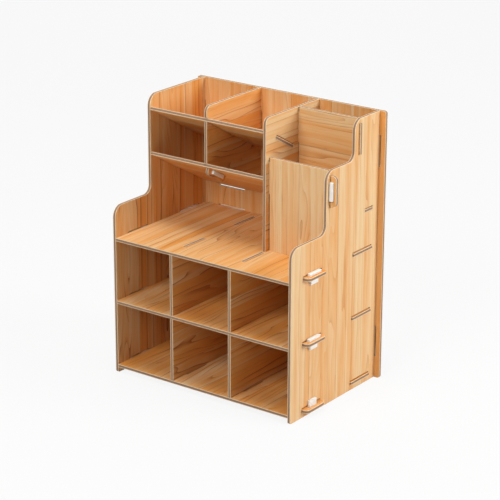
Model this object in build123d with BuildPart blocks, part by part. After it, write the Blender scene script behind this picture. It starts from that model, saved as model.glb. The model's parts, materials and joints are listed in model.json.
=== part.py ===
from build123d import *
import math
import os

# A slot-together desk organizer: flat boards with tabs and tenons that pass through one another,
# locked by small plastic clips. Sizes are in millimetres. X runs to the right, Y to the back and
# Z up. Distances called "back" are measured from the cabinet's front edges.

# Boards
board = 4.0                     # thickness of every board
cabinet_width = 266.0           # over the outer faces of the two side panels
cabinet_depth = 179.0           # from the front edges to the front face of the back panel
back_overhang = 8.0             # back panel past the outer face of each side panel
floor_gap = 7.0                 # under the bottom shelf
lower_row = 80.5                # clear height of the two rows of compartments
upper_row = 77.5

# Stepped outline of the side panels
cheek_rise = 40.0               # side panels beside the open desktop, above it
pen_box_height = 116.0          # right panel's middle step and the pen box's rim, above the desktop
rear_rise = 49.0                # highest step above that rim
tower_back = 69.0               # where the upper unit begins
ledge_depth = 57.0              # right panel's middle step, front to back
outer_round = 14.0              # rounded corners of the steps
inner_round = 11.0              # rounded roots of the steps
foot_round = 3.0
divider_round = 8.0             # top front corners of the two upper dividers
back_round = 3.0

# Sloping boards of the upper unit, falling to the back
slope_angle = 29.0              # degrees
upper_slope_drop = 15.0         # its front top corner below the top of the cabinet
slope_spacing = 57.0            # from the upper board straight down to the lower

# Pen box
pen_board_inset = 7.0           # its front board behind the front of the upper unit
pen_pocket_depth = 55.0         # front pocket, front to back
rear_pocket_height = 116.0      # from the rear pocket's floor to the top of the cabinet
cross_skirt = 4.0               # cross board below that floor
end_gap = 1.0                   # left ends of its two boards, from the tall divider

# Tabs that are locked by a clip
tab_length = 38.0
tab_reach = 8.5                 # beyond the board that the tab passes through
tab_round = 6.0
shelf_tab_back = 42.5           # centre of the shelves' front tabs
low_tab_height = 48.0           # centre of each side panel's lower tab through the back panel
high_tab_drop = 50.0            # centre of the upper one below the top of the cabinet
pen_tab_drop = 25.0             # centre of the pen box's front tab below its rim
divider_tab_run = 24.0          # centre of the upper divider's tab, down the slope

# Tenons that end level with the board that they pass through, or a little proud of it
tenon_length = 40.0
tenon_proud = 1.5               # on the outer faces of the side panels
shelf_tenon_inset = 33.0        # centre of the shelves' rear tenons, in front of the back panel
divider_front_tenon = 46.0      # centres of the lower dividers' tenons, from the front edge
divider_rear_tenon = 32.0       # and from the back panel
tower_tenon_inset = 29.0        # tall divider's tenon through the desktop, from its front edge
tower_tenon_rise = 31.0         # lower of its two tenons through the back panel, above the desktop
slope_tenon_run = 42.0          # centre of the sloping boards' side tenons, down the slope
cross_tenon_length = 38.0
cross_tenon_drop = 25.0         # centre of the cross board's side tenons below its top
floor_side_tenon = 16.0
floor_end_tenon = 30.0

# Clearances
slot_play = 0.3                 # between a tenon and each wall of its slot
slot_spare = 1.0                # more room on one side of it, above a level tenon
back_slot_play = 0.8            # the same for the side panels' tabs in the back panel
clip_play = 0.3                 # between a clip and what it slides through or along
run_out = 6.0                   # how far a cut passes an open edge

# Locking clips
clip_slot_length = 15.0
clip_slot_width = 3.6
clip_head_length = 23.0
clip_head_width = 4.6
clip_head_thickness = 3.0
clip_head_round = 0.8
clip_edge_bevel = 0.4
clip_depth = 12.0               # shank below the head
clip_tip_round = 0.8
tongue_length = 6.5             # snap tongue in the middle of the shank
tongue_width = 6.4
tongue_slit = 1.0
tongue_tip_gap = 2.6            # slit to the end of the shank

# Worked out from the sizes above
front = -(cabinet_depth + board + tab_reach) / 2
outer_x = cabinet_width / 2
inner_x = outer_x - board
divider_x = (2 * inner_x - 2 * board) / 6 + board / 2
tower_inner_x = divider_x + board / 2
bay_x = (inner_x + tower_inner_x) / 2
bottom_top = floor_gap + board
middle_top = bottom_top + lower_row + board
desktop_underside = middle_top + upper_row
desktop_top = desktop_underside + board
cheek_top = desktop_top + cheek_rise
pen_rim = desktop_top + pen_box_height
cabinet_height = pen_rim + rear_rise
high_tab_height = cabinet_height - high_tab_drop
pen_tab_height = pen_rim - pen_tab_drop
tower_tenon_height = desktop_top + tower_tenon_rise
cross_tenon_height = cabinet_height - cross_tenon_drop
rear_floor_top = cabinet_height - rear_pocket_height
upper_slope_front = cabinet_height - upper_slope_drop
lower_slope_front = upper_slope_front - slope_spacing
rear_step_back = tower_back + ledge_depth
pen_board_back = tower_back + pen_board_inset
cross_board_back = pen_board_back + board + pen_pocket_depth
shelf_tenon_back = cabinet_depth - shelf_tenon_inset
divider_tenon_backs = (divider_front_tenon, cabinet_depth - divider_rear_tenon)
tower_tenon_back = tower_back + tower_tenon_inset
lap_back = cabinet_depth / 2
back_rear = cabinet_depth + board
sine = math.sin(math.radians(slope_angle))
cosine = math.cos(math.radians(slope_angle))
slope_back = tower_back + board * sine
slope_length = (cabinet_depth - slope_back) / cosine
slope_lap = slope_length / 2
pen_box_width = inner_x - tower_inner_x
floor_back = cross_board_back + board
floor_depth = cabinet_depth - floor_back
floor_tenon_back = floor_back + floor_depth / 2
floor_middle = rear_floor_top - board / 2
down_slope = -90 - slope_angle  # turns that lay a slot or tab square to a sloping board
up_slope = 90 - slope_angle
shelf_tops = (bottom_top, middle_top, desktop_top)
slope_fronts = (lower_slope_front, upper_slope_front)
slope_tenon_xs = (-bay_x, 0.0)


def level(height):
    """Plane of a level board: local x to the right, local y to the back."""
    return Plane(origin=(0, front, height), x_dir=(1, 0, 0), z_dir=(0, 0, 1))


def upright(x):
    """Plane of a board standing front to back: local x to the back, local y up."""
    return Plane(origin=(x, front, 0), x_dir=(0, 1, 0), z_dir=(1, 0, 0))


def facing(back):
    """Plane of a board standing across, seen from the front: local x to the right, local y up."""
    return Plane(origin=(0, front + back, 0), x_dir=(1, 0, 0), z_dir=(0, -1, 0))


def sloping(front_height):
    """Top face of a sloping board: local x to the right, local y down the slope."""
    origin = (0, front + slope_back, front_height)
    return Plane(origin=origin, x_dir=(1, 0, 0), z_dir=(0, sine, cosine))


def on_slope(front_height, run, depth):
    """Back and height of a point down a sloping board and a depth below its top face."""
    back = slope_back + run * cosine - depth * sine
    height = front_height - run * sine - depth * cosine
    return back, height


def turned(at, turn):
    return Location((at[0], at[1], 0), (0, 0, turn))


def tenon(at, turn, length=tenon_length, reach=board):
    """Tenon from a shoulder at a point, reaching out in the direction of its turn."""
    with Locations(turned(at, turn)):
        Rectangle(2 * reach, length)


def mortise(at, turn, length=tenon_length, play=slot_play):
    """Slot for a tenon or tab, long across the direction of its turn, with spare room that way."""
    with Locations(turned(at, turn)):
        with Locations((-board / 2 - play, 0)):
            Rectangle(board + 2 * play + slot_spare, length + 2 * play,
                      align=(Align.MIN, Align.CENTER), mode=Mode.SUBTRACT)


def clip_tab(at, turn):
    """Round-cornered tab from a shoulder, with the slot for its clip just past the next board."""
    with Locations(turned(at, turn)):
        RectangleRounded(2 * (board + tab_reach), tab_length, tab_round)
        with Locations((board + clip_slot_width / 2, 0)):
            Rectangle(clip_slot_width, clip_slot_length, mode=Mode.SUBTRACT)


def save(piece, name):
    piece.part.label = name
    export_step(piece.part, f"parts/{name}.step")


def side_outline(profile, steps):
    """Stepped side panel with rounded steps, its back tabs and the shelves' slots."""
    for back, top in steps:
        with Locations((back, 0)):
            Rectangle(cabinet_depth - back, top, align=(Align.MIN, Align.MIN))
    roots = [(steps[i + 1][0], steps[i][1]) for i in range(len(steps) - 1)]
    fillet(corners_near(profile, steps), outer_round)
    fillet(corners_near(profile, roots), inner_round)
    fillet(corners_near(profile, [(0, 0)]), foot_round)
    for height in (low_tab_height, high_tab_height):
        clip_tab((cabinet_depth, height), 0)
    for top in shelf_tops:
        mortise((shelf_tab_back, top - board / 2), 90, tab_length)
        mortise((shelf_tenon_back, top - board / 2), 90)


def corners_near(profile, points):
    return [profile.vertices().sort_by_distance((x, y, 0))[0] for x, y in points]


def make_right_side_panel():
    steps = [(0, cheek_top), (tower_back, pen_rim), (rear_step_back, cabinet_height)]
    with BuildPart() as right_side_panel:
        with BuildSketch(upright(inner_x)) as profile:
            side_outline(profile, steps)
            mortise((pen_board_back + board / 2, pen_tab_height), 180, tab_length)
            mortise((cross_board_back + board / 2, cross_tenon_height), 180, cross_tenon_length)
            mortise((floor_tenon_back, floor_middle), 90, floor_side_tenon)
        extrude(amount=board)
    save(right_side_panel, "right_side_panel")


def make_left_side_panel():
    steps = [(0, cheek_top), (tower_back, cabinet_height)]
    with BuildPart() as left_side_panel:
        with BuildSketch(upright(-outer_x)) as profile:
            side_outline(profile, steps)
            for front_height in slope_fronts:
                mortise(on_slope(front_height, slope_tenon_run, board / 2), up_slope)
        extrude(amount=board)
    save(left_side_panel, "left_side_panel")


def make_back_panel():
    slanted_height = board / cosine + board * sine / cosine + 2 * slot_play + slot_spare
    with BuildPart() as back_panel:
        with BuildSketch(facing(cabinet_depth)):
            with Locations((0, cabinet_height / 2)):
                RectangleRounded(cabinet_width + 2 * back_overhang, cabinet_height, back_round)
            for x, turn in ((-inner_x - board / 2, 180), (inner_x + board / 2, 0)):
                for height in (low_tab_height, high_tab_height):
                    mortise((x, height), turn, tab_length, back_slot_play)
            for x in (-bay_x, bay_x):
                for top in shelf_tops:
                    mortise((x, top - board / 2), 90)
            mortise((-divider_x, high_tab_height), 0)
            mortise((divider_x, high_tab_height), 0)
            mortise((divider_x, tower_tenon_height), 0)
            mortise((bay_x, floor_middle), 90, floor_end_tenon)
            for front_height in slope_fronts:
                top = on_slope(front_height, slope_length, 0)[1] + slot_play + slot_spare
                for x in slope_tenon_xs:
                    with Locations((x, top)):
                        Rectangle(tenon_length + 2 * slot_play, slanted_height,
                                  align=(Align.CENTER, Align.MAX), mode=Mode.SUBTRACT)
        extrude(amount=-board)
    save(back_panel, "back_panel")


def shelf_outline():
    """Level board with a clip tab and a tenon at each side and two tenons at the back."""
    with Locations((0, cabinet_depth / 2)):
        Rectangle(2 * inner_x, cabinet_depth)
    for x, turn in ((inner_x, 0), (-inner_x, 180)):
        clip_tab((x, shelf_tab_back), turn)
        tenon((x, shelf_tenon_back), turn, reach=board + tenon_proud)
    for x in (-bay_x, bay_x):
        tenon((x, cabinet_depth), 90)


def make_bottom_shelf():
    with BuildPart() as bottom_shelf:
        with BuildSketch(level(bottom_top)):
            shelf_outline()
            for back in divider_tenon_backs:
                mortise((-divider_x, back), 0)
                mortise((divider_x, back), 0)
        extrude(amount=-board)
    save(bottom_shelf, "bottom_shelf")


def make_middle_shelf():
    with BuildPart() as middle_shelf:
        with BuildSketch(level(middle_top)):
            shelf_outline()
            with Locations((-divider_x, lap_back), (divider_x, lap_back)):
                Rectangle(board + 2 * slot_play, cabinet_depth - lap_back,
                          align=(Align.CENTER, Align.MIN), mode=Mode.SUBTRACT)
        extrude(amount=-board)
    save(middle_shelf, "middle_shelf")


def make_desktop_shelf():
    with BuildPart() as desktop_shelf:
        with BuildSketch(level(desktop_top)):
            shelf_outline()
            for back in divider_tenon_backs:
                mortise((-divider_x, back), 0)
                mortise((divider_x, back), 0)
            mortise((divider_x, tower_tenon_back), 0)
            mortise((bay_x, pen_board_back + board / 2), 90)
        extrude(amount=-board)
    save(desktop_shelf, "desktop_shelf")


def make_lower_divider(name, x):
    """Divider of the lower cabinet, half lapped with the middle shelf from the front."""
    with BuildPart() as lower_divider:
        with BuildSketch(upright(x - board / 2)):
            with Locations((0, bottom_top)):
                Rectangle(cabinet_depth, desktop_underside - bottom_top,
                          align=(Align.MIN, Align.MIN))
            for back in divider_tenon_backs:
                tenon((back, bottom_top), -90)
                tenon((back, desktop_underside), 90)
            with Locations((0, middle_top - board / 2)):
                Rectangle(lap_back, board + 2 * slot_play,
                          align=(Align.MIN, Align.CENTER), mode=Mode.SUBTRACT)
        extrude(amount=board)
    save(lower_divider, name)


def make_tall_divider():
    """Wall between the upper bays and the pen box, standing on the desktop."""
    with BuildPart() as tall_divider:
        with BuildSketch(upright(divider_x - board / 2)) as profile:
            with Locations((tower_back, desktop_top)):
                Rectangle(cabinet_depth - tower_back, cabinet_height - desktop_top,
                          align=(Align.MIN, Align.MIN))
            fillet(corners_near(profile, [(tower_back, cabinet_height)]), divider_round)
            tenon((tower_tenon_back, desktop_top), -90)
            tenon((cabinet_depth, high_tab_height), 0)
            tenon((cabinet_depth, tower_tenon_height), 0)
            mortise((pen_board_back + board / 2, pen_tab_height), 0)
            mortise((cross_board_back + board / 2, cross_tenon_height), 0, cross_tenon_length)
            mortise((floor_tenon_back, floor_middle), 90, floor_side_tenon)
            for front_height in slope_fronts:
                mortise(on_slope(front_height, slope_tenon_run, board / 2), up_slope)
        extrude(amount=board)
    save(tall_divider, "tall_divider")


def make_upper_divider():
    """Wall between the two upper bays, on the lower sloping board and lapped with the upper."""
    foot_front = lower_slope_front + (slope_back - tower_back) * sine / cosine
    foot_rear = on_slope(lower_slope_front, slope_length, 0)[1]
    with BuildPart() as upper_divider:
        with BuildSketch(upright(-divider_x - board / 2)) as profile:
            with BuildLine():
                Polyline((tower_back, foot_front), (cabinet_depth, foot_rear),
                         (cabinet_depth, cabinet_height), (tower_back, cabinet_height),
                         close=True)
            make_face()
            fillet(corners_near(profile, [(tower_back, cabinet_height)]), divider_round)
            tenon((cabinet_depth, high_tab_height), 0)
            clip_tab(on_slope(lower_slope_front, divider_tab_run, 0), down_slope)
            lap_middle = (slope_lap - run_out) / 2
            with Locations(turned(on_slope(upper_slope_front, lap_middle, board / 2), down_slope)):
                Rectangle(board + 2 * slot_play, slope_lap + run_out, mode=Mode.SUBTRACT)
        extrude(amount=board)
    save(upper_divider, "upper_divider")


def sloping_outline():
    """Sloping board from the left panel to the tall divider, with tenons right and back."""
    with Locations((-inner_x, 0)):
        Rectangle(inner_x + divider_x - board / 2, slope_length, align=(Align.MIN, Align.MIN))
    tenon((divider_x - board / 2, slope_tenon_run), 0)
    for x in slope_tenon_xs:
        tenon((x, slope_length), 90, reach=board / cosine)


def make_lower_sloped_board():
    with BuildPart() as lower_sloped_board:
        with BuildSketch(sloping(lower_slope_front)):
            sloping_outline()
            clip_tab((-inner_x, slope_tenon_run), 180)
            mortise((-divider_x, divider_tab_run), 0, tab_length)
        extrude(amount=-board)
    save(lower_sloped_board, "lower_sloped_board")


def make_upper_sloped_board():
    with BuildPart() as upper_sloped_board:
        with BuildSketch(sloping(upper_slope_front)):
            sloping_outline()
            tenon((-inner_x, slope_tenon_run), 180, reach=board + tenon_proud)
            with Locations((-divider_x, slope_lap)):
                Rectangle(board + 2 * slot_play, slope_length - slope_lap,
                          align=(Align.CENTER, Align.MIN), mode=Mode.SUBTRACT)
        extrude(amount=-board)
    save(upper_sloped_board, "upper_sloped_board")


def make_pen_box_front_board():
    with BuildPart() as pen_box_front_board:
        with BuildSketch(facing(pen_board_back)):
            with Locations((tower_inner_x + end_gap, desktop_top)):
                Rectangle(pen_box_width - end_gap, pen_rim - desktop_top,
                          align=(Align.MIN, Align.MIN))
            tenon((tower_inner_x, pen_tab_height), 180)
            tenon((bay_x, desktop_top), -90)
            clip_tab((inner_x, pen_tab_height), 0)
        extrude(amount=-board)
    save(pen_box_front_board, "pen_box_front_board")


def make_pen_box_cross_board():
    foot = rear_floor_top - board - cross_skirt
    with BuildPart() as pen_box_cross_board:
        with BuildSketch(facing(cross_board_back)):
            with Locations((tower_inner_x + end_gap, foot)):
                Rectangle(pen_box_width - end_gap, cabinet_height - foot,
                          align=(Align.MIN, Align.MIN))
            tenon((tower_inner_x, cross_tenon_height), 180, cross_tenon_length)
            tenon((inner_x, cross_tenon_height), 0, cross_tenon_length, board + tenon_proud)
            mortise((bay_x, floor_middle), 90, floor_end_tenon)
        extrude(amount=-board)
    save(pen_box_cross_board, "pen_box_cross_board")


def make_rear_pocket_floor():
    with BuildPart() as rear_pocket_floor:
        with BuildSketch(level(rear_floor_top)):
            with Locations((tower_inner_x, floor_back)):
                Rectangle(pen_box_width, floor_depth, align=(Align.MIN, Align.MIN))
            tenon((tower_inner_x, floor_tenon_back), 180, floor_side_tenon)
            tenon((inner_x, floor_tenon_back), 0, floor_side_tenon)
            tenon((bay_x, floor_back), -90, floor_end_tenon)
            tenon((bay_x, cabinet_depth), 90, floor_end_tenon)
        extrude(amount=-board)
    save(rear_pocket_floor, "rear_pocket_floor")


def make_clip(name, seat, pull, outward):
    """Moulded locking clip: a flat head on the tab and a shank with a snap tongue through it.

    The seat is the point of the tab's face against the board that the tab passes through. The
    head points along pull, and outward leads away from that board.
    """
    out = Vector(*outward)
    face = Plane(origin=seat, x_dir=out.cross(Vector(*pull)), z_dir=pull)
    shank_thickness = clip_slot_width - 2 * clip_play
    shank_middle = face.origin + out * (clip_slot_width / 2)
    head_middle = face.origin + out * (clip_play + clip_head_width / 2)
    tip = shank_middle - face.z_dir * clip_depth
    tongue_middle = clip_depth - tongue_tip_gap - tongue_slit - tongue_length / 2
    with BuildPart() as clip:
        with BuildSketch(Plane(origin=shank_middle, x_dir=face.x_dir, z_dir=face.z_dir)):
            Rectangle(clip_slot_length - 2 * clip_play, shank_thickness)
        extrude(amount=-clip_depth)
        ends = clip.edges().filter_by(Axis(face.origin, out)).sort_by_distance(tip)[:2]
        fillet(ends, clip_tip_round)
        with BuildSketch(Plane(origin=shank_middle, x_dir=face.x_dir, z_dir=out)):
            with Locations((0, -tongue_middle)):
                Rectangle(tongue_width + 2 * tongue_slit, tongue_length + 2 * tongue_slit)
                with Locations((0, tongue_slit)):
                    Rectangle(tongue_width, tongue_length + 2 * tongue_slit, mode=Mode.SUBTRACT)
        extrude(amount=shank_thickness, both=True, mode=Mode.SUBTRACT)
        with BuildSketch(Plane(origin=head_middle, x_dir=face.x_dir, z_dir=face.z_dir)):
            RectangleRounded(clip_head_length, clip_head_width, clip_head_round)
        extrude(amount=clip_head_thickness)
        crown = clip.faces().sort_by(Axis(face.origin, face.z_dir))[-1]
        chamfer(crown.edges(), clip_edge_bevel)
    save(clip, name)


def make_shelf_clips():
    """Clips of the shelves' front tabs: the bottom shelf's are pushed in from below."""
    rows = (("bottom", bottom_top - board, -1), ("middle", middle_top, 1),
            ("desktop", desktop_top, 1))
    for side, sign in (("left", -1), ("right", 1)):
        for row, height, up in rows:
            seat = (sign * outer_x, front + shelf_tab_back, height)
            make_clip(f"{side}_{row}_shelf_clip", seat, (0, 0, up), (sign, 0, 0))


def make_back_clips():
    """Clips of the side panels' tabs behind the back panel."""
    for side, sign in (("left", -1), ("right", 1)):
        for level_name, height in (("lower", low_tab_height), ("upper", high_tab_height)):
            seat = (sign * outer_x, front + back_rear, height)
            make_clip(f"{side}_{level_name}_back_clip", seat, (sign, 0, 0), (0, 1, 0))


def make_upper_unit_clips():
    """Clips of the pen box's front board, the lower sloping board and the upper divider."""
    pen_seat = (outer_x, front + pen_board_back, pen_tab_height)
    make_clip("pen_box_clip", pen_seat, (0, -1, 0), (1, 0, 0))
    back, height = on_slope(lower_slope_front, slope_tenon_run, 0)
    make_clip("sloped_board_clip", (-outer_x, front + back, height),
              (0, sine, cosine), (-1, 0, 0))
    back, height = on_slope(lower_slope_front, divider_tab_run, board)
    make_clip("upper_divider_clip", (-divider_x + board / 2, front + back, height),
              (1, 0, 0), (0, -sine, -cosine))


os.makedirs("parts", exist_ok=True)
make_left_side_panel()
make_right_side_panel()
make_back_panel()
make_bottom_shelf()
make_middle_shelf()
make_desktop_shelf()
make_lower_divider("lower_divider_left", -divider_x)
make_lower_divider("lower_divider_right", divider_x)
make_tall_divider()
make_upper_divider()
make_upper_sloped_board()
make_lower_sloped_board()
make_pen_box_front_board()
make_pen_box_cross_board()
make_rear_pocket_floor()
make_shelf_clips()
make_back_clips()
make_upper_unit_clips()
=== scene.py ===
import json
import math

import bpy
from mathutils import Euler, Matrix, Vector

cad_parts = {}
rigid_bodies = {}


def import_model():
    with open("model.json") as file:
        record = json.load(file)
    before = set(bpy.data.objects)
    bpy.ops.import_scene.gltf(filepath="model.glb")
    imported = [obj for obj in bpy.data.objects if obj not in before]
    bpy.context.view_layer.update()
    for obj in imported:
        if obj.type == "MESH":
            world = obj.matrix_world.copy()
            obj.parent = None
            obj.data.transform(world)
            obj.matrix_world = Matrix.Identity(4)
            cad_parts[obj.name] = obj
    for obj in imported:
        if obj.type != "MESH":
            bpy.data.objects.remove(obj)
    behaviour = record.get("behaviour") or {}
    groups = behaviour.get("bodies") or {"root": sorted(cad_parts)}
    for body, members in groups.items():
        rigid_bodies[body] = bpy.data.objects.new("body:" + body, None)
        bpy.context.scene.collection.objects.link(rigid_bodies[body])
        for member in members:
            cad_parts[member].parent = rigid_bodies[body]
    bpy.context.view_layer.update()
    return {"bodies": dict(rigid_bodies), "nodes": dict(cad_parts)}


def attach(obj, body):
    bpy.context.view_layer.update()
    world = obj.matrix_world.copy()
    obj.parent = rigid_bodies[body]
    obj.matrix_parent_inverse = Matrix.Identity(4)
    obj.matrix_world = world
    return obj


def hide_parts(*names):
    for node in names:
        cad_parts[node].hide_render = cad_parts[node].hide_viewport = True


bl_info = {
    "name": "Slot-together desk organizer",
    "version": (1, 0, 0),
    "blender": (4, 5, 0),
    "location": "3D View > Sidebar > Organizer",
    "description": "Faces the boards with pine print, moulds the clips and sets the stage",
    "category": "Object",
}

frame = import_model()

MM = 0.001
RIGHT, BACK, UP = Vector((1, 0, 0)), Vector((0, 1, 0)), Vector((0, 0, 1))
WHITE = (1.0, 1.0, 1.0, 1.0)


def paint(red, green, blue):
    """Linear colour from the 0 to 255 values that a paint chart gives."""
    def linear(value):
        share = value / 255
        return share / 12.92 if share <= 0.04045 else ((share + 0.055) / 1.055) ** 2.4
    return (linear(red), linear(green), linear(blue))


def opaque(colour):
    return (*colour, 1.0)


# ---------------------------------------------------------------------------------------------
# Sizes and colours that a user would change


def colour_property(name, description, chart):
    return bpy.props.FloatVectorProperty(name=name, description=description, subtype="COLOR",
                                         size=3, min=0.0, max=1.0, default=paint(*chart))


def length_property(name, description, millimetres):
    return bpy.props.FloatProperty(name=name, description=description, unit="LENGTH",
                                   min=0.0, precision=5, default=millimetres * MM)


def share_property(name, description, share):
    return bpy.props.FloatProperty(name=name, description=description, subtype="FACTOR",
                                   min=0.0, max=1.0, default=share)


def power_property(name, description, watts):
    return bpy.props.FloatProperty(name=name, description=description, subtype="POWER",
                                   unit="POWER", min=0.0, default=watts)


class BoardFinish(bpy.types.PropertyGroup):
    """Pine print on both faces of a fibreboard core."""
    pale: colour_property("Pale wood", "Lightest sapwood in the print", (226, 200, 156))
    warm: colour_property("Warm wood", "Most orange heartwood in the print", (220, 151, 74))
    line: colour_property("Grain lines", "Late wood and joints between the strips", (158, 90, 38))
    core: colour_property("Cut edge", "Fibreboard at the cut edges", (157, 128, 102))
    core_dark: colour_property("Edge specks", "Darker fibres at the cut edges", (124, 96, 73))
    # The skin line's colour is the pale facing at the cut edges. Its depth is drawn wider than the
    # facing, so it is also a painted highlight along the eased edges
    skin: colour_property("Skin line", "Pale line of the facing at the cut edges", (228, 202, 168))
    strip_width: length_property("Strip width", "Mean width of the printed strips", 19.0)
    skin_and_highlight_depth: length_property("Skin depth", "Depth of the facing seen at a cut edge", 0.75)
    edge_ease: length_property("Edge ease", "Rounding of the boards' edges", 0.22)
    grain_depth: length_property("Grain depth", "Height of the pressed grain", 0.03)


class ClipFinish(bpy.types.PropertyGroup):
    """Moulded plastic of the locking clips."""
    plastic: colour_property("Plastic", "White of the moulded plastic", (232, 231, 227))
    roughness: share_property("Roughness", "How matt the plastic is", 0.38)
    edge_ease: length_property("Edge ease", "Rounding of the clips' edges", 0.2)


class StageFinish(bpy.types.PropertyGroup):
    """Floor and light round the organizer."""
    floor: colour_property("Floor", "Colour of the studio floor", (205, 205, 205))
    floor_glow: share_property("Floor glow", "How far the camera sees the floor as white", 0.88)
    side_power: power_property("Side light", "Power of the light on the right", 49.0)
    top_power: power_property("Top light", "Power of the light overhead", 40.0)
    front_power: power_property("Front light", "Power of the light in front", 57.0)
    back_power: power_property("Back light", "Power of the light behind on the left", 16.0)
    room: bpy.props.FloatProperty(name="Room light", description="Light from all round",
                                  min=0.0, default=0.02)


# ---------------------------------------------------------------------------------------------
# Shader maths


class Wire:
    """An output of a material's node. The maths signs add nodes to the same material."""

    def __init__(self, nodes, socket):
        self.nodes = nodes
        self.socket = socket

    def node(self, kind, settings, inputs, output=0):
        """Add a node with its settings and inputs, and return one of its outputs."""
        added = self.nodes.new(kind)
        for setting, value in settings.items():
            setattr(added, setting, value)
        for place, value in inputs.items():
            if isinstance(value, Wire):
                self.nodes.id_data.links.new(value.socket, added.inputs[place])
            else:
                added.inputs[place].default_value = value
        return Wire(self.nodes, added.outputs[output])

    def maths(self, operation, *values):
        return self.node("ShaderNodeMath", {"operation": operation}, dict(enumerate(values)))

    def __add__(self, other):
        return self.maths("ADD", self, other)

    def __sub__(self, other):
        return self.maths("SUBTRACT", self, other)

    def __mul__(self, other):
        return self.maths("MULTIPLY", self, other)

    def __truediv__(self, other):
        return self.maths("DIVIDE", self, other)

    def __pow__(self, other):
        return self.maths("POWER", self, other)

    def __rsub__(self, other):
        return self.maths("SUBTRACT", other, self)

    def __abs__(self):
        return self.maths("ABSOLUTE", self)

    __radd__ = __add__
    __rmul__ = __mul__

    def floor(self):
        return self.maths("FLOOR", self)

    def least(self, other):
        return self.maths("MINIMUM", self, other)

    def most(self, other):
        return self.maths("MAXIMUM", self, other)

    def swing(self):
        """Distance of a value from 0 to 1 from its middle."""
        return self - 0.5

    def along(self, direction):
        """Distance along a direction, of a wire that carries a place."""
        return self.node("ShaderNodeVectorMath", {"operation": "DOT_PRODUCT"},
                         {0: self, 1: direction}, "Value")

    def place(self, x, y=0.0, z=0.0):
        """Place made of three distances, in the same material as this wire."""
        return self.node("ShaderNodeCombineXYZ", {}, {"X": x, "Y": y, "Z": z})

    def noise(self, detail=2.0, roughness=0.5, scale=1.0):
        """Soft random value from 0 to 1 at the place that this wire carries."""
        return self.node("ShaderNodeTexNoise", {"noise_dimensions": "3D"},
                         {"Vector": self, "Scale": scale, "Detail": detail,
                          "Roughness": roughness}, "Fac")

    def dice(self):
        """Three random values for each whole number that this wire carries."""
        thrown = self.node("ShaderNodeTexWhiteNoise", {"noise_dimensions": "1D"},
                           {"W": self}, "Color")
        return [thrown.node("ShaderNodeSeparateColor", {}, {"Color": thrown}, channel)
                for channel in ("Red", "Green", "Blue")]

    def ramp(self, low, high):
        """Smooth step from 0 at low to 1 at high."""
        return self.node("ShaderNodeMapRange", {"interpolation_type": "SMOOTHSTEP"},
                         {"Value": self, "From Min": low, "From Max": high})

    def blend(self, first, second):
        """Mix of two colours: the first where this wire is 0, the second where it is 1.

        The node's sockets for colours are its inputs 6 and 7 and its output 2.
        """
        return self.node("ShaderNodeMix", {"data_type": "RGBA"},
                         {"Factor": self, 6: first, 7: second}, 2)


def start_material(name):
    """Empty material, its nodes, and its shader, which is linked to the surface."""
    material = bpy.data.materials.new(name)
    material.use_nodes = True
    nodes = material.node_tree.nodes
    nodes.clear()
    shader = nodes.new("ShaderNodeBsdfPrincipled")
    output = nodes.new("ShaderNodeOutputMaterial")
    material.node_tree.links.new(shader.outputs[0], output.inputs["Surface"])
    return material, nodes, shader


def place_on_piece(nodes):
    """The place on the piece, in metres."""
    return Wire(nodes, nodes.new("ShaderNodeTexCoord").outputs["Object"])


def feed(node, socket, wire):
    node.id_data.links.new(wire.socket, node.inputs[socket])


def bump(height, distance):
    return height.node("ShaderNodeBump", {}, {"Height": height, "Distance": distance,
                                              "Strength": 1.0})


# ---------------------------------------------------------------------------------------------
# Boards' print, with its lengths in millimetres. Its noises give values from 0 to 1

# Shifts to another part of the noise: for each seed, and for each strip by its dice
SEED_ACROSS, SEED_ALONG, SEED_STRIPS = 37.0, 211.0, 17.0
SLIP_ACROSS, BEND_ALONG, BEND_DEEP = 90.0, 900.0, 9.0

# Steps of each noise for a millimetre across the grain and along it, its detail and roughness
ARCHES = (0.03, 0.0045, 2.0, 0.45)
VIGOUR = (0.06, 0.005, 1.0, 0.5)
STREAKS = (0.09, 0.003, 3.0, 0.5)
FIBRES = (1.1, 0.03, 3.0, 0.6)
SPECKS = (2.1, 2.1, 3.0, 0.7)
SPECK_STEP_DEEP = 3.2

# Strips: the sway of their edges, in strip widths, and the share of a strip that its seam takes
SWAY_STEP, SWAY_REACH = 0.45, 2.4
SEAM_SHARE = 0.035

# Growth rings: how many to a millimetre, how many more the arches add, and their sharpness
RINGS_PER_MM = 0.11
ARCH_RINGS, WAVE_RINGS = 12.0, 2.0
RING_SHARPNESS = 5.0

# Values at which each pattern starts to show and at which it is full
VIGOUR_SHOWS = (0.35, 0.65)
STREAKS_SHOW = (0.58, 0.76)
FIBRES_SHOW = (0.53, 0.72)
SPECKS_SHOW = (0.34, 0.66)
SEAM_TONES = (0.4, 0.8)
WARM_RANGE = (-0.1, 1.1)
DARK_RANGE = (0.0, 1.1)

# Weights of the patterns in the share of warm wood, and in the share of the grain lines' colour
TONE_WARMTH, STREAK_WARMTH, RING_WARMTH = 0.5, 1.3, 0.2
SHADE_WARMTH, FIBRE_WARMTH = 0.6, 0.25
STREAK_DARKNESS, FIBRE_DARKNESS, SEAM_DARKNESS = 0.25, 0.3, 0.6

# Where the core turns into the skin line, and the skin line into the print, below the face. The
# skin line is the pale facing drawn deeper than it is, so it is partly a painted highlight on the
# eased edges
SKIN_BLUR = 0.12
PRINT_STARTS, PRINT_FULL = 0.05, 0.02

# Roughness of the cut edges and the faces, and what the fibres add; heights of the relief, as
# shares of the pressed grain's; and how strongly the boards reflect
EDGE_ROUGHNESS, FACE_ROUGHNESS, FIBRE_ROUGHNESS = 0.78, 0.40, 0.16
FIBRE_RELIEF, STREAK_RELIEF, EDGE_RELIEF = 0.6, 0.4, 2.5
BOARD_SHEEN = 0.4


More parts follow.
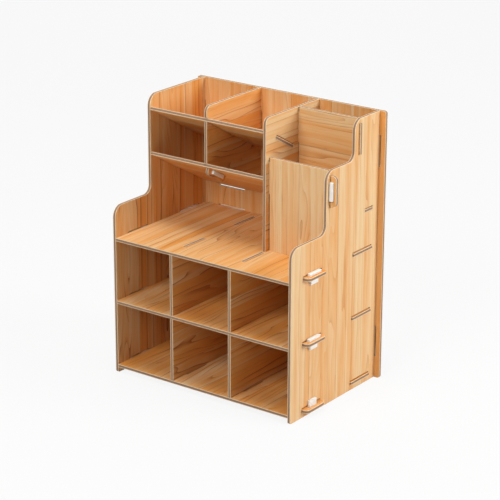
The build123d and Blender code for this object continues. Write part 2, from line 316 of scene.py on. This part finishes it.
def grain_noise(across, along, deep, pattern):
    """Noise drawn out along the grain, at a place on the board."""
    step_across, step_along, detail, roughness = pattern
    return across.place(across * step_across, along * step_along, deep).noise(detail, roughness)


def board_material(name, through, middle, grain, half, warmth, figure, seed):
    """Printed pine strips on the faces, a pale line that is partly facing and partly painted
    highlight, and fibreboard at the cut edges.
    """
    finish = bpy.context.scene.board_finish
    across = through.cross(grain)
    material, nodes, shader = start_material(name)
    place = place_on_piece(nodes)
    side = place.along(across / MM) + SEED_ACROSS * seed
    length = place.along(grain / MM) + SEED_ALONG * seed
    deep = place.along(through / MM)

    # Strips of uneven width, each with its own tone and grain
    strip_width = finish.strip_width / MM
    sway = side.place(side * (SWAY_STEP / strip_width), seed).noise(detail=0.0)
    lane = side / strip_width + sway * SWAY_REACH
    strip = lane.floor()
    inside = lane - strip
    tone, bend, slip = (strip + SEED_STRIPS * seed).dice()
    strip_side = side + slip * SLIP_ACROSS
    strip_length = length + bend * BEND_ALONG

    # Growth rings darken slowly and end in a fine line; in some strips they bend into arches
    arches = grain_noise(strip_side, strip_length, bend * BEND_DEEP, ARCHES)
    rings = strip_side * RINGS_PER_MM + arches * (bend * bend * ARCH_RINGS + WAVE_RINGS)
    ring = rings - rings.floor()
    vigour = grain_noise(strip_side, strip_length, seed, VIGOUR).ramp(*VIGOUR_SHOWS)
    streaks = grain_noise(strip_side, strip_length, seed, STREAKS)
    fibres = grain_noise(strip_side, strip_length, seed, FIBRES)
    seam = 1.0 - inside.least(1.0 - inside).ramp(0.0, SEAM_SHARE)

    # Warm wood over pale wood, and the grain lines over both
    warm_share = (warmth + tone.swing() * TONE_WARMTH + streaks.swing() * STREAK_WARMTH
                  + ring.swing() * RING_WARMTH + inside.swing() * slip.swing() * SHADE_WARMTH
                  + fibres.swing() * FIBRE_WARMTH)
    dark_share = (ring ** RING_SHARPNESS * vigour * figure
                  + streaks.ramp(*STREAKS_SHOW) * STREAK_DARKNESS
                  + fibres.ramp(*FIBRES_SHOW) * FIBRE_DARKNESS
                  + seam * tone.ramp(*SEAM_TONES) * SEAM_DARKNESS)
    wood = warm_share.ramp(*WARM_RANGE).blend(opaque(finish.pale), opaque(finish.warm))
    print_colour = dark_share.ramp(*DARK_RANGE).blend(wood, opaque(finish.line))

    # Cut edges, told from the faces by their distance from the board's middle plane
    specks = grain_noise(side, length, deep * SPECK_STEP_DEEP, SPECKS)
    core = specks.ramp(*SPECKS_SHOW).blend(opaque(finish.core_dark), opaque(finish.core))
    from_middle = abs(deep - middle / MM)
    face_height = half / MM
    # Pale line next to each face: partly the facing and partly a painted highlight on the eased
    # edge, because it is drawn deeper than the facing
    skin_and_highlight_starts = face_height - finish.skin_and_highlight_depth / MM
    skin = from_middle.ramp(skin_and_highlight_starts, skin_and_highlight_starts + SKIN_BLUR)
    face = from_middle.ramp(face_height - PRINT_STARTS, face_height - PRINT_FULL)
    colour = face.blend(skin.blend(core, opaque(finish.skin)), print_colour)

    smoothing = fibres * FIBRE_ROUGHNESS - (EDGE_ROUGHNESS - FACE_ROUGHNESS)
    relief = (face * (fibres * FIBRE_RELIEF + streaks * STREAK_RELIEF)
              + (1.0 - skin) * specks * EDGE_RELIEF)
    feed(shader, "Base Color", colour)
    feed(shader, "Roughness", face * smoothing + EDGE_ROUGHNESS)
    feed(shader, "Normal", bump(relief, finish.grain_depth))
    shader.inputs["Specular IOR Level"].default_value = BOARD_SHEEN
    return material


# ---------------------------------------------------------------------------------------------
# Clips' plastic

# Detail, roughness and scale of the moulding's flow marks and of its fine grit, how far the flow
# marks darken and roughen it, and the grit's depth in millimetres
FLOW = (3.0, 0.55, 260.0)
GRIT = (2.0, 0.5, 2600.0)
FLOW_SHOWS = (0.3, 0.7)
FLOW_SHADE = 0.94
FLOW_ROUGHNESS = 0.14
GRIT_DEPTH = 0.012


def clip_material():
    """White moulded plastic with a faintly uneven satin surface."""
    finish = bpy.context.scene.clip_finish
    material, nodes, shader = start_material("white_moulded_plastic")
    place = place_on_piece(nodes)
    flow = place.noise(*FLOW)
    grit = place.noise(*GRIT)
    plastic = Vector(finish.plastic)
    colour = flow.ramp(*FLOW_SHOWS).blend(opaque(plastic * FLOW_SHADE), opaque(plastic))
    feed(shader, "Base Color", colour)
    feed(shader, "Roughness", flow * FLOW_ROUGHNESS + (finish.roughness - FLOW_ROUGHNESS / 2))
    feed(shader, "Normal", bump(grit, GRIT_DEPTH * MM))
    return material


# ---------------------------------------------------------------------------------------------
# Pieces

# Points nearer than the reach are one, and so are faces that meet at less than the flat angle
WELD_REACH = 0.005 * MM
FLAT_ANGLE = math.radians(0.5)

# Edges that turn more than the sharp angle are eased
SHARP_ANGLE = math.radians(40)
EASE_SEGMENTS = 2

# Upward part that a level normal may have, and the digits to which like normals agree
LEVEL_RISE = 0.01
NORMAL_DIGITS = 2


def only(piece):
    """Make one object the only one selected."""
    bpy.ops.object.select_all(action="DESELECT")
    piece.select_set(True)
    bpy.context.view_layer.objects.active = piece


def finished_copy(node, name, ease):
    """Merged copy of a CAD node with its edges eased, standing for the node."""
    piece = bpy.data.objects.new(name, frame["nodes"][node].data.copy())
    bpy.context.scene.collection.objects.link(piece)
    piece.data.materials.clear()
    only(piece)
    bpy.ops.object.mode_set(mode="EDIT")
    bpy.ops.mesh.select_all(action="SELECT")
    bpy.ops.mesh.remove_doubles(threshold=WELD_REACH)
    bpy.ops.mesh.dissolve_limited(angle_limit=FLAT_ANGLE)
    bpy.ops.object.mode_set(mode="OBJECT")
    rounding = piece.modifiers.new("ease", "BEVEL")
    rounding.width = ease
    rounding.segments = EASE_SEGMENTS
    rounding.limit_method = "ANGLE"
    rounding.angle_limit = SHARP_ANGLE
    rounding.harden_normals = True
    bpy.ops.object.shade_smooth_by_angle(angle=SHARP_ANGLE)
    bpy.ops.object.modifier_apply(modifier="ease")
    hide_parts(node)
    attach(piece, node if node in frame["bodies"] else "cabinet")
    return piece


def widest_face(node):
    """A board's normal, the height of its middle plane along that, and half its thickness.

    The normal is that of the faces that hold most of the board's area.
    """
    mesh = frame["nodes"][node].data
    areas = {}
    for polygon in mesh.polygons:
        normal = polygon.normal
        if normal.z < -LEVEL_RISE or (abs(normal.z) < LEVEL_RISE and normal.x + normal.y < 0):
            normal = -normal
        key = tuple(round(part, NORMAL_DIGITS) for part in normal)
        area, total = areas.get(key, (0.0, Vector()))
        areas[key] = (area + polygon.area, total + normal * polygon.area)
    through = max(areas.values(), key=lambda entry: entry[0])[1].normalized()
    heights = [vertex.co.dot(through) for vertex in mesh.vertices]
    low, high = min(heights), max(heights)
    return through, (low + high) / 2, (high - low) / 2


def face_board(node, grain, warmth, figure, seed):
    """Give a board its eased edges and its print, with the grain along a direction.

    Warmth is the share of orange in the print, and figure the strength of its growth rings.
    """
    through, middle, half = widest_face(node)
    grain = (grain - through * grain.dot(through)).normalized()
    piece = finished_copy(node, "faced_" + node, bpy.context.scene.board_finish.edge_ease)
    piece.data.materials.append(board_material("pine_print_" + node, through, middle, grain,
                                               half, warmth, figure, seed))


class PieceOperator:
    bl_options = {"REGISTER", "UNDO"}


class ORGANIZER_OT_side_panels(PieceOperator, bpy.types.Operator):
    """Face the two stepped side panels, with upright grain"""
    bl_idname = "organizer.side_panels"
    bl_label = "Side panels"

    def execute(self, context):
        face_board("left_side_panel", UP, warmth=0.7, figure=1.0, seed=403)
        face_board("right_side_panel", UP, warmth=0.48, figure=0.4, seed=1411)
        return {"FINISHED"}


class ORGANIZER_OT_back_panel(PieceOperator, bpy.types.Operator):
    """Face the back panel, with upright grain"""
    bl_idname = "organizer.back_panel"
    bl_label = "Back panel"

    def execute(self, context):
        face_board("back_panel", UP, warmth=0.64, figure=0.5, seed=105)
        return {"FINISHED"}


class ORGANIZER_OT_shelves(PieceOperator, bpy.types.Operator):
    """Face the three level shelves, with the grain running to the back"""
    bl_idname = "organizer.shelves"
    bl_label = "Shelves"

    def execute(self, context):
        face_board("bottom_shelf", BACK, warmth=0.74, figure=0.9, seed=21)
        face_board("middle_shelf", BACK, warmth=0.74, figure=0.9, seed=622)
        face_board("desktop_shelf", BACK, warmth=0.7, figure=0.8, seed=723)
        return {"FINISHED"}


class ORGANIZER_OT_dividers(PieceOperator, bpy.types.Operator):
    """Face the upright dividers, with the grain running to the back"""
    bl_idname = "organizer.dividers"
    bl_label = "Dividers"

    def execute(self, context):
        face_board("lower_divider_left", BACK, warmth=0.76, figure=1.0, seed=631)
        face_board("lower_divider_right", BACK, warmth=0.76, figure=1.0, seed=532)
        face_board("tall_divider", BACK, warmth=0.58, figure=0.7, seed=533)
        face_board("upper_divider", BACK, warmth=0.84, figure=1.0, seed=34)
        return {"FINISHED"}


class ORGANIZER_OT_sloping_boards(PieceOperator, bpy.types.Operator):
    """Face the two sloping boards, with the grain from side to side"""
    bl_idname = "organizer.sloping_boards"
    bl_label = "Sloping boards"

    def execute(self, context):
        face_board("upper_sloped_board", RIGHT, warmth=0.75, figure=0.5, seed=41)
        face_board("lower_sloped_board", RIGHT, warmth=0.75, figure=0.5, seed=43)
        return {"FINISHED"}


class ORGANIZER_OT_pen_box(PieceOperator, bpy.types.Operator):
    """Face the boards of the pen box"""
    bl_idname = "organizer.pen_box"
    bl_label = "Pen box"

    def execute(self, context):
        face_board("pen_box_front_board", UP, warmth=0.42, figure=0.5, seed=1153)
        face_board("pen_box_cross_board", RIGHT, warmth=0.6, figure=0.6, seed=555)
        face_board("rear_pocket_floor", BACK, warmth=0.55, figure=0.5, seed=57)
        return {"FINISHED"}


class ORGANIZER_OT_clips(PieceOperator, bpy.types.Operator):
    """Mould the thirteen locking clips"""
    bl_idname = "organizer.clips"
    bl_label = "Locking clips"

    def execute(self, context):
        plastic = clip_material()
        clips = [node for node in frame["nodes"] if node.endswith("_clip")]
        if not clips:
            raise RuntimeError("the packed model has no clips")
        for node in clips:
            piece = finished_copy(node, "moulded_" + node, context.scene.clip_finish.edge_ease)
            piece.data.materials.append(plastic)
        return {"FINISHED"}


# ---------------------------------------------------------------------------------------------
# Stage, with its lengths in metres

FLOOR_SIDE = 30.0
FLOOR_ROUGHNESS, FLOOR_SHEEN = 0.9, 0.1

# Each light's place, the side of its softbox, and the setting that holds its power
LIGHTS = {
    "side_light": ((2.2, 0.8, 1.2), 1.2, "side_power"),
    "top_light": ((0.2, -0.2, 2.6), 1.2, "top_power"),
    "front_light": ((0.1, -2.5, 1.9), 1.6, "front_power"),
    "back_light": ((-1.7, 2.2, 1.2), 1.6, "back_power"),
}
LIGHTS_AIM = (0.0, 0.0, 0.17)

# Angles in degrees, and the lens and its sensor in millimetres
CAMERA_AT = (1.370, -1.85215, 0.9827)
CAMERA_TILT, CAMERA_TURN, CAMERA_ROLL = 70.42, 36.34, 0.214
CAMERA_LENS, CAMERA_SENSOR = 144.42, 36.0
CAMERA_SHIFT = (-0.0056, -0.00188)
CAMERA_REACH = 50.0


def seen_directly(nodes):
    """1 to the camera, also by way of a glossy or clear surface, and 0 to other rays."""
    rays = nodes.new("ShaderNodeLightPath")
    seen = Wire(nodes, rays.outputs["Is Camera Ray"])
    for output in ("Is Glossy Ray", "Is Transmission Ray"):
        seen = seen.most(Wire(nodes, rays.outputs[output]))
    return seen


def floor_material():
    """Pale floor: the camera sees it near white, and the organizer's shadow stays on it."""
    finish = bpy.context.scene.stage_finish
    material, nodes, shader = start_material("pale_studio_floor")
    shader.inputs["Base Color"].default_value = opaque(finish.floor)
    shader.inputs["Roughness"].default_value = FLOOR_ROUGHNESS
    shader.inputs["Specular IOR Level"].default_value = FLOOR_SHEEN
    seen = seen_directly(nodes)
    glow = seen.node("ShaderNodeEmission", {}, {"Color": WHITE, "Strength": 1.0})
    mix = seen.node("ShaderNodeMixShader", {}, {"Fac": seen * finish.floor_glow,
                                                1: Wire(nodes, shader.outputs[0]), 2: glow})
    feed(nodes["Material Output"], "Surface", mix)
    return material


def add_floor():
    bpy.ops.object.select_all(action="DESELECT")
    bpy.ops.mesh.primitive_plane_add(size=FLOOR_SIDE)
    floor = bpy.context.view_layer.objects.active
    floor.name = "studio_floor"
    floor.data.materials.append(floor_material())


def add_light(name, at, side, power):
    """Large square softbox that points at the organizer."""
    bpy.ops.object.select_all(action="DESELECT")
    turn = (Vector(LIGHTS_AIM) - Vector(at)).to_track_quat("-Z", "Y").to_euler()
    bpy.ops.object.light_add(type="AREA", location=at, rotation=turn)
    light = bpy.context.view_layer.objects.active
    light.name = name
    light.data.shape = "SQUARE"
    light.data.size = side
    light.data.energy = power


def add_room(scene, room):
    """World that the camera sees as white, and that lights the organizer a little."""
    world = bpy.data.worlds.new("studio")
    scene.world = world
    world.use_nodes = True
    nodes = world.node_tree.nodes
    background = nodes["Background"]
    background.inputs["Color"].default_value = WHITE
    feed(background, "Strength", seen_directly(nodes) * (1.0 - room) + room)


def add_camera(scene):
    """Camera with the place, the turn and the lens that were fitted to the photograph."""
    bpy.ops.object.select_all(action="DESELECT")
    bpy.ops.object.camera_add(location=CAMERA_AT)
    camera = bpy.context.view_layer.objects.active
    camera.name = "photograph_camera"
    aimed = Euler((math.radians(CAMERA_TILT), 0.0, math.radians(CAMERA_TURN))).to_matrix()
    roll = Matrix.Rotation(math.radians(CAMERA_ROLL), 3, "Z")
    camera.rotation_euler = (aimed @ roll).to_euler()
    camera.data.sensor_width = CAMERA_SENSOR
    camera.data.lens = CAMERA_LENS
    camera.data.shift_x, camera.data.shift_y = CAMERA_SHIFT
    camera.data.clip_end = CAMERA_REACH
    scene.camera = camera


class ORGANIZER_OT_stage(PieceOperator, bpy.types.Operator):
    """Add the floor, the studio light and the camera"""
    bl_idname = "organizer.stage"
    bl_label = "Stage"

    def execute(self, context):
        scene = context.scene
        finish = scene.stage_finish
        add_floor()
        for name, (at, side, power) in LIGHTS.items():
            add_light(name, at, side, getattr(finish, power))
        add_room(scene, finish.room)
        add_camera(scene)
        scene.view_settings.view_transform = "Standard"
        return {"FINISHED"}


# ---------------------------------------------------------------------------------------------
# Add-on


PIECE_OPERATORS = (
    ORGANIZER_OT_side_panels, ORGANIZER_OT_back_panel, ORGANIZER_OT_shelves,
    ORGANIZER_OT_dividers, ORGANIZER_OT_sloping_boards, ORGANIZER_OT_pen_box,
    ORGANIZER_OT_clips, ORGANIZER_OT_stage,
)
SETTINGS = (("board_finish", BoardFinish), ("clip_finish", ClipFinish),
            ("stage_finish", StageFinish))


class ORGANIZER_PT_panel(bpy.types.Panel):
    """Sizes, colours and pieces of the organizer"""
    bl_idname = "ORGANIZER_PT_panel"
    bl_label = "Desk organizer"
    bl_space_type = "VIEW_3D"
    bl_region_type = "UI"
    bl_category = "Organizer"

    def draw(self, context):
        layout = self.layout
        for group, kind in SETTINGS:
            box = layout.box()
            settings = getattr(context.scene, group)
            for setting in kind.__annotations__:
                box.prop(settings, setting)
        for operator in PIECE_OPERATORS:
            layout.operator(operator.bl_idname)


CLASSES = tuple(kind for group, kind in SETTINGS) + PIECE_OPERATORS + (ORGANIZER_PT_panel,)


def register():
    for entry in CLASSES:
        bpy.utils.register_class(entry)
    for group, kind in SETTINGS:
        setattr(bpy.types.Scene, group, bpy.props.PointerProperty(type=kind))


def unregister():
    for group, kind in SETTINGS:
        delattr(bpy.types.Scene, group)
    for entry in reversed(CLASSES):
        bpy.utils.unregister_class(entry)


def main():
    register()
    bpy.ops.organizer.side_panels()
    bpy.ops.organizer.back_panel()
    bpy.ops.organizer.shelves()
    bpy.ops.organizer.dividers()
    bpy.ops.organizer.sloping_boards()
    bpy.ops.organizer.pen_box()
    bpy.ops.organizer.clips()
    bpy.ops.organizer.stage()


if __name__ == "__main__":
    main()
